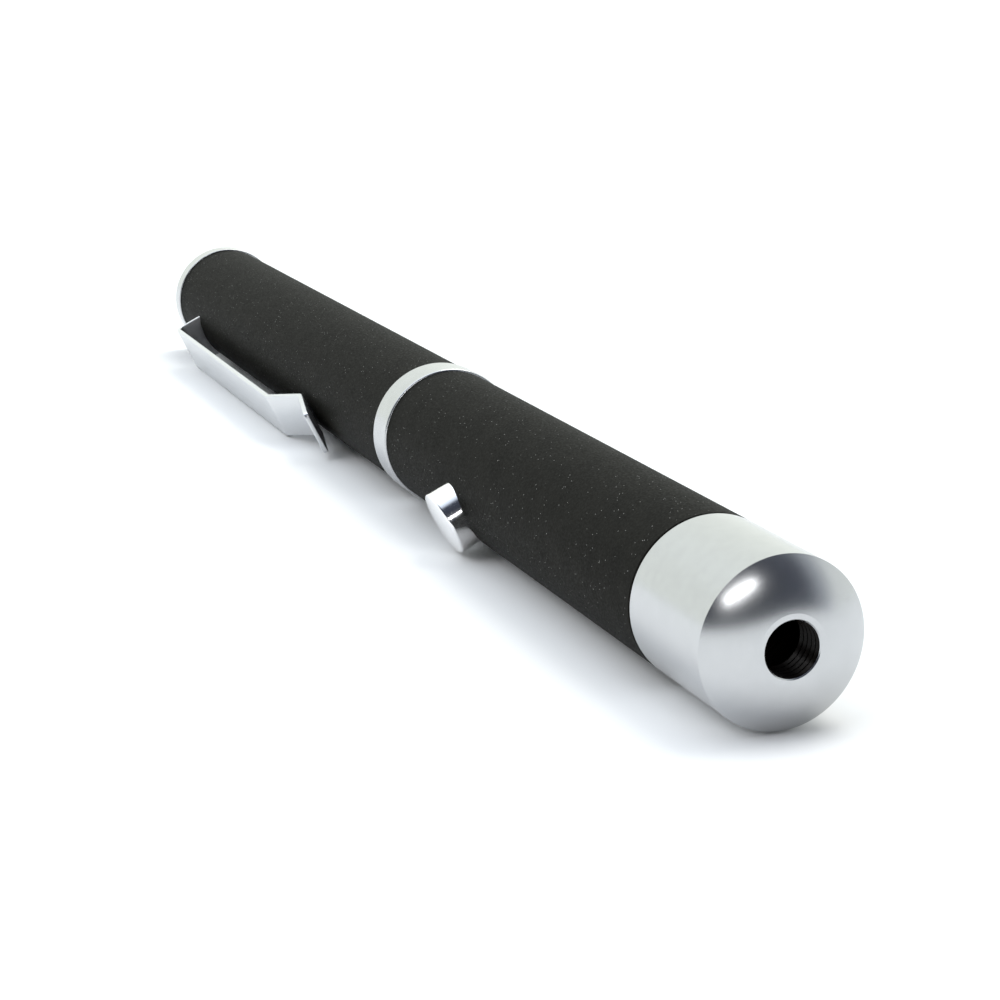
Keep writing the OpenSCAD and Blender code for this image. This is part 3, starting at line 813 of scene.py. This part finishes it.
class PEN_OT_button(bpy.types.Operator):
    """Turns the bright push button with its flange"""

    bl_idname = "pen.button"
    bl_label = "Push button"

    def execute(self, context):
        size = context.scene.pen_button
        flange = size.radius + size.flange
        flange_top = size.flange_low + size.flange_t
        dome = (size.radius ** 2 + size.crown ** 2) / (2 * size.crown)
        inner = size.radius - size.edge
        crown = [
            (size.rim + size.crown - dome + math.sqrt(dome ** 2 - r ** 2), r)
            for r in (inner * (1 - i / CROWN_STEPS) for i in range(CROWN_STEPS + 1))
        ]
        outline = rounded([
            (size.flange_low, 0), (size.flange_low, flange), (flange_top, flange),
            (flange_top, size.radius), (size.rim, size.radius, size.edge), *crown,
        ])
        cap = turned("push_button", outline, chrome(),
                     standing(size.roll, BUTTON_STATION), BUTTON_SIDES)
        fitted(cap, "button", "bright_chrome", "button_cap")
        return {"FINISHED"}


class PEN_OT_clip(bpy.types.Operator):
    """Bends the pocket clip from one strip of sheet"""

    bl_idname = "pen.clip"
    bl_label = "Pocket clip"

    def execute(self, context):
        size = context.scene.pen_clip
        bore = context.scene.pen_barrel.bore
        tip = front_of("clip_arm")
        tongue = rear_of("clip_tongue")
        half = size.sheet / 2
        root = front_of("clip_tongue") - size.bend - size.sheet
        foot = tip - size.lip
        tongue_h = math.sqrt((bore - 0.1 * MM) ** 2 - (size.root / 2) ** 2) - half
        arm_h = BARREL_R + size.height - half
        foot_h = BARREL_R + half + FIT
        lip_h = BARREL_R + size.lip_height - half
        route = [
            (tongue, tongue_h), (root, tongue_h), (root, arm_h), (foot - size.slope, arm_h),
            (foot, foot_h), (tip, lip_h),
        ]
        bm = bmesh.new()
        station, height = route[0]
        fold = bm.edges.new([bm.verts.new((height, station, side * size.root / 2))
                             for side in (-1, 1)])
        folds = [fold]
        for station, height in route[1:]:
            along = min(max((station - root) / (tip - root), 0), 1)
            wide = size.root + (size.tip - size.root) * along
            grown = bmesh.ops.extrude_edge_only(bm, edges=[fold])["geom"]
            fold = next(part for part in grown if isinstance(part, bmesh.types.BMEdge)
                        and all(end in grown for end in part.verts))
            for end in fold.verts:
                end.co = (height, station, math.copysign(wide / 2, end.co.z))
            folds.append(fold)
        corners = list(fold.verts)
        for fold in folds[1:-1]:
            walls = [face.normal_update() or face for face in fold.link_faces]
            turn = walls[0].normal.angle(walls[1].normal)
            bmesh.ops.bevel(bm, geom=[fold], offset=size.bend * math.tan(turn / 2),
                            offset_type="OFFSET", segments=8, profile=0.5, affect="EDGES",
                            material=-1)
        bmesh.ops.bevel(bm, geom=[v for v in corners if v.is_valid], offset=size.corner,
                        offset_type="OFFSET", segments=6, profile=0.5, affect="VERTICES",
                        material=-1)
        arm = [e for e in bm.edges
               if abs(e.verts[0].co.y - e.verts[1].co.y) > (foot - root) / 2]
        bmesh.ops.subdivide_edges(bm, edges=arm, cuts=size.cuts, use_grid_fill=False)
        bmesh.ops.recalc_face_normals(bm, faces=bm.faces)
        bmesh.ops.transform(bm, matrix=standing(size.roll, 0), verts=bm.verts)
        clip = piece_from(bm, "pocket_clip", clip_steel())
        wall = clip.modifiers.new("Sheet", "SOLIDIFY")
        wall.thickness = size.sheet
        wall.offset = 0
        edges = clip.modifiers.new("Edges", "BEVEL")
        edges.width = size.edge
        edges.segments = 3
        edges.limit_method = "ANGLE"
        edges.angle_limit = math.radians(50)
        settle(clip)
        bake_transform(clip)
        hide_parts("clip_tongue", "clip_arm")
        return {"FINISHED"}


class PEN_OT_cells(bpy.types.Operator):
    """Makes the two cells: can, film, paper ring and terminal"""

    bl_idname = "pen.cells"
    bl_label = "Cells"

    def execute(self, context):
        metal = grained("cell_metal", (0.7, 0.7, 0.69), 1.0, (0.2, 0.32), 5000)
        paper = grained("cell_paper", (0.72, 0.71, 0.66), 0.0, (0.7, 0.85), 3000, depth=1e-5)
        film = film_wrap()
        for cell in ("front_cell", "rear_cell"):
            self.make(cell, metal, paper, film)
        return {"FINISHED"}

    def make(self, cell, metal, paper, film):
        """One cell from its four CAD nodes' boxes."""
        can_r = radius_of(cell + "_can")
        rear, shoulder = rear_of(cell + "_can"), front_of(cell + "_can")
        dish = rear + 0.12 * MM
        can = turned(cell + "_body", rounded([
            (rear, 0), (rear, 2.6 * MM, SMALL_EDGE), (dish, 2.9 * MM), (dish, 4.2 * MM),
            (rear, 4.5 * MM, SMALL_EDGE), (rear, can_r, 0.3 * MM),
            (shoulder, can_r, 0.25 * MM), (shoulder, 0),
        ]), metal)
        fitted(can, cell, "cell_metal", cell + "_can")
        back, front = rear_of(cell + "_wrap"), front_of(cell + "_wrap")
        inside = can_r + 0.01 * MM
        turned_in = CELL_R - 0.08 * MM
        shrink = 0.25 * MM
        wrap = turned(cell + "_film", rounded([
            (back, turned_in), (back, inside), (front, inside), (front, turned_in),
            (front - shrink, CELL_R, 0.3 * MM), (back + shrink, CELL_R, 0.3 * MM),
        ]), film)
        fitted(wrap, cell, "cell_wrap", cell + "_wrap")
        low, high = rear_of(cell + "_seal"), front_of(cell + "_seal")
        inner, outer = 3.02 * MM, radius_of(cell + "_seal")
        seal = turned(cell + "_paper", rounded([
            (low, inner), (low, outer), (high, outer, SMALL_EDGE), (high, inner, SMALL_EDGE),
        ]), paper)
        fitted(seal, cell, "cell_seal", cell + "_seal")
        low, high = rear_of(cell + "_cap"), front_of(cell + "_cap")
        nub, skirt = 1.9 * MM, radius_of(cell + "_cap")
        step = high - 0.88 * MM
        cap = turned(cell + "_terminal", rounded([
            (low, 0), (low, skirt), (step, skirt, 0.12 * MM), (step, nub, 0.2 * MM),
            (high, nub, 0.3 * MM), (high, 0),
        ]), metal)
        fitted(cap, cell, "cell_metal", cell + "_cap")


class PEN_OT_inside(bpy.types.Operator):
    """Finishes the laser module and the driver board, and winds their two springs"""

    bl_idname = "pen.inside"
    bl_label = "Module and board"

    def execute(self, context):
        for node, finish in inner_finishes().items():
            mesh = frame["nodes"][node].data
            mesh.materials.clear()
            mesh.materials.append(finish)
        steel = grained("small_spring_wire", SPRING_STEEL, 1.0, (0.16, 0.28), 6000)
        gold = grained("contact_wire", GOLD, 1.0, (0.15, 0.25), 6000)
        wire = 0.4 * MM
        seat = radius_of("cell_spring")
        cell = coiled("lens_cell_coil", rear_of("cell_spring"), (seat, seat), wire, 3,
                      front_of("cell_spring"), steel)
        fitted(cell, "front", "spring_steel", "cell_spring")
        contact = coiled("contact_coil", rear_of("contact_spring"), (1.4 * MM, 3.1 * MM), wire,
                         3, front_of("contact_spring"), gold)
        fitted(contact, "front", "gold_plate", "contact_spring")
        return {"FINISHED"}


class PEN_OT_stage(bpy.types.Operator):
    """Sets the floor, the white surroundings, the lamps and the camera"""

    bl_idname = "pen.stage"
    bl_label = "Stage"

    def execute(self, context):
        scene = context.scene
        studio = scene.pen_studio
        scene.view_settings.view_transform = "Standard"
        self.floor()
        self.sky(scene, studio)
        self.sun(scene, studio)
        self.soft_box(scene, studio)
        self.fill(scene, studio)
        self.camera(scene, studio)
        return {"FINISHED"}

    def floor(self):
        """A wide pale floor under the pen."""
        bm = bmesh.new()
        bmesh.ops.create_grid(bm, x_segments=4, y_segments=4, size=3)
        bmesh.ops.translate(bm, verts=bm.verts, vec=(0, 0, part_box("tail_cap")[0].z))
        finish, tree, shader, place = new_finish("pale_floor")
        mottle = noise(tree, place, 6)
        tree.links.new(between(tree, mottle, (0.86, 0.87, 0.88), (0.9, 0.9, 0.9)),
                       shader.inputs["Base Color"])
        shader.inputs["Roughness"].default_value = 0.7
        shader.inputs["Specular IOR Level"].default_value = 0.2
        ground = piece_from(bm, "floor", finish)

    def sky(self, scene, studio):
        """Surroundings that are white behind the pen and overhead, and dark behind the camera."""
        world = bpy.data.worlds.new("studio")
        world.use_nodes = True
        scene.world = world
        tree = world.node_tree
        back = tree.nodes["Background"]
        back.inputs["Strength"].default_value = studio.sky
        way = tree.nodes.new("ShaderNodeTexCoord").outputs["Generated"]
        walls = self.shades(tree, way, CAMERA_BACK, WALLS)
        ceiling = self.shades(tree, way, OVERHEAD, CEILING)
        light = tree.nodes.new("ShaderNodeVectorMath")
        tree.links.new(walls, light.inputs[0])
        tree.links.new(ceiling, light.inputs[1])
        plain = tree.nodes.new("ShaderNodeMix")
        plain.data_type = "RGBA"
        plain.inputs[7].default_value = (1, 1, 1, 1)
        seen = tree.nodes.new("ShaderNodeLightPath")
        tree.links.new(seen.outputs["Is Camera Ray"], plain.inputs["Factor"])
        tree.links.new(light.outputs["Vector"], plain.inputs[6])
        tree.links.new(plain.outputs[2], back.inputs["Color"])

    def shades(self, tree, way, middle, stops):
        """Shades that change with the angle from a direction, from its far side (0) to it (1)."""
        facing = tree.nodes.new("ShaderNodeVectorMath")
        facing.operation = "DOT_PRODUCT"
        facing.inputs[1].default_value = middle
        tree.links.new(way, facing.inputs[0])
        along = spread(tree, facing.outputs["Value"], 0, 1, -1, 1)
        ramp = tree.nodes.new("ShaderNodeValToRGB")
        ramp.color_ramp.interpolation = "EASE"
        for number, (position, shade) in enumerate(stops):
            made = ramp.color_ramp.elements
            stop = made[number] if number < 2 else made.new(position)
            stop.position = position
            stop.color = (*shade, 1)
        tree.links.new(along, ramp.inputs["Fac"])
        return ramp.outputs["Color"]

    def sun(self, scene, studio):
        """A wide, even light from behind the pen, whose shadow falls towards the clip."""
        light = bpy.data.lights.new("sun", "SUN")
        light.energy = studio.sun
        light.angle = math.radians(32)
        light.color = (1.0, 0.985, 0.955)
        lamp = bpy.data.objects.new("sun", light)
        lamp.rotation_euler = Vector((-0.22, 0.42, 0.88)).to_track_quat("Z", "Y").to_euler()
        scene.collection.objects.link(lamp)

    def soft_box(self, scene, studio):
        """A soft box in front of the nose, long in the direction round the pen."""
        light = bpy.data.lights.new("soft_box", "AREA")
        light.shape = "RECTANGLE"
        light.size, light.size_y = 0.26, 0.05
        light.energy = studio.box
        lamp = bpy.data.objects.new("soft_box", light)
        place = Vector((0.499, -0.119, 0.264))
        facing = place.normalized()
        across = ALONG.cross(facing).normalized()
        turn = Matrix((across, facing.cross(across), facing)).transposed().to_4x4()
        lamp.matrix_world = Matrix.Translation(place) @ turn
        lamp.visible_camera = False
        scene.collection.objects.link(lamp)

    def fill(self, scene, studio):
        """Lightens the shadow on the clip's side, and shows in no reflection."""
        light = bpy.data.lights.new("fill", "AREA")
        light.shape = "SQUARE"
        light.size = 0.4
        light.energy = studio.fill
        lamp = bpy.data.objects.new("fill", light)
        lamp.location = (0.02, -0.45, 0.35)
        lamp.rotation_euler = lamp.location.to_track_quat("Z", "Y").to_euler()
        lamp.visible_camera = False
        lamp.visible_glossy = False
        scene.collection.objects.link(lamp)

    def camera(self, scene, studio):
        """Looks along the pen from in front of its nose, a little above it."""
        right = CAMERA_RIGHT.normalized()
        back = CAMERA_BACK.normalized()
        up = back.cross(right).normalized()
        turn = Matrix((right, up, back)).transposed().to_4x4()
        view = bpy.data.cameras.new("camera")
        view.lens = studio.lens
        view.sensor_width = 36
        view.clip_start = 5 * MM
        camera = bpy.data.objects.new("camera", view)
        camera.matrix_world = Matrix.Translation(CAMERA_PLACE) @ turn
        scene.collection.objects.link(camera)
        scene.camera = camera


OPERATORS = (
    PEN_OT_nose, PEN_OT_front_barrel, PEN_OT_coupling, PEN_OT_rear_barrel, PEN_OT_tail,
    PEN_OT_button, PEN_OT_clip, PEN_OT_cells, PEN_OT_inside, PEN_OT_stage,
)


class PEN_PT_pieces(bpy.types.Panel):
    """Lists the pieces and their settings in the sidebar."""

    bl_idname = "PEN_PT_pieces"
    bl_label = "Pen pointer"
    bl_space_type = "VIEW_3D"
    bl_region_type = "UI"
    bl_category = "Pen pointer"

    def draw(self, context):
        layout = self.layout
        for operator in OPERATORS:
            layout.operator(operator.bl_idname)
        for name, group in SETTINGS.items():
            box = layout.box()
            box.label(text=group.__doc__)
            for prop in group.__annotations__:
                box.prop(getattr(context.scene, name), prop)


CLASSES = (*SETTINGS.values(), *OPERATORS, PEN_PT_pieces)


def register():
    for cls in CLASSES:
        bpy.utils.register_class(cls)
    for name, group in SETTINGS.items():
        setattr(bpy.types.Scene, name, PointerProperty(type=group))


def unregister():
    for name in SETTINGS:
        delattr(bpy.types.Scene, name)
    for cls in reversed(CLASSES):
        bpy.utils.unregister_class(cls)


def main():
    """Builds every piece and the stage."""
    register()
    bpy.ops.pen.nose()
    bpy.ops.pen.front_barrel()
    bpy.ops.pen.coupling()
    bpy.ops.pen.rear_barrel()
    bpy.ops.pen.tail()
    bpy.ops.pen.button()
    bpy.ops.pen.clip()
    bpy.ops.pen.cells()
    bpy.ops.pen.inside()
    bpy.ops.pen.stage()


if __name__ == "__main__":
    main()
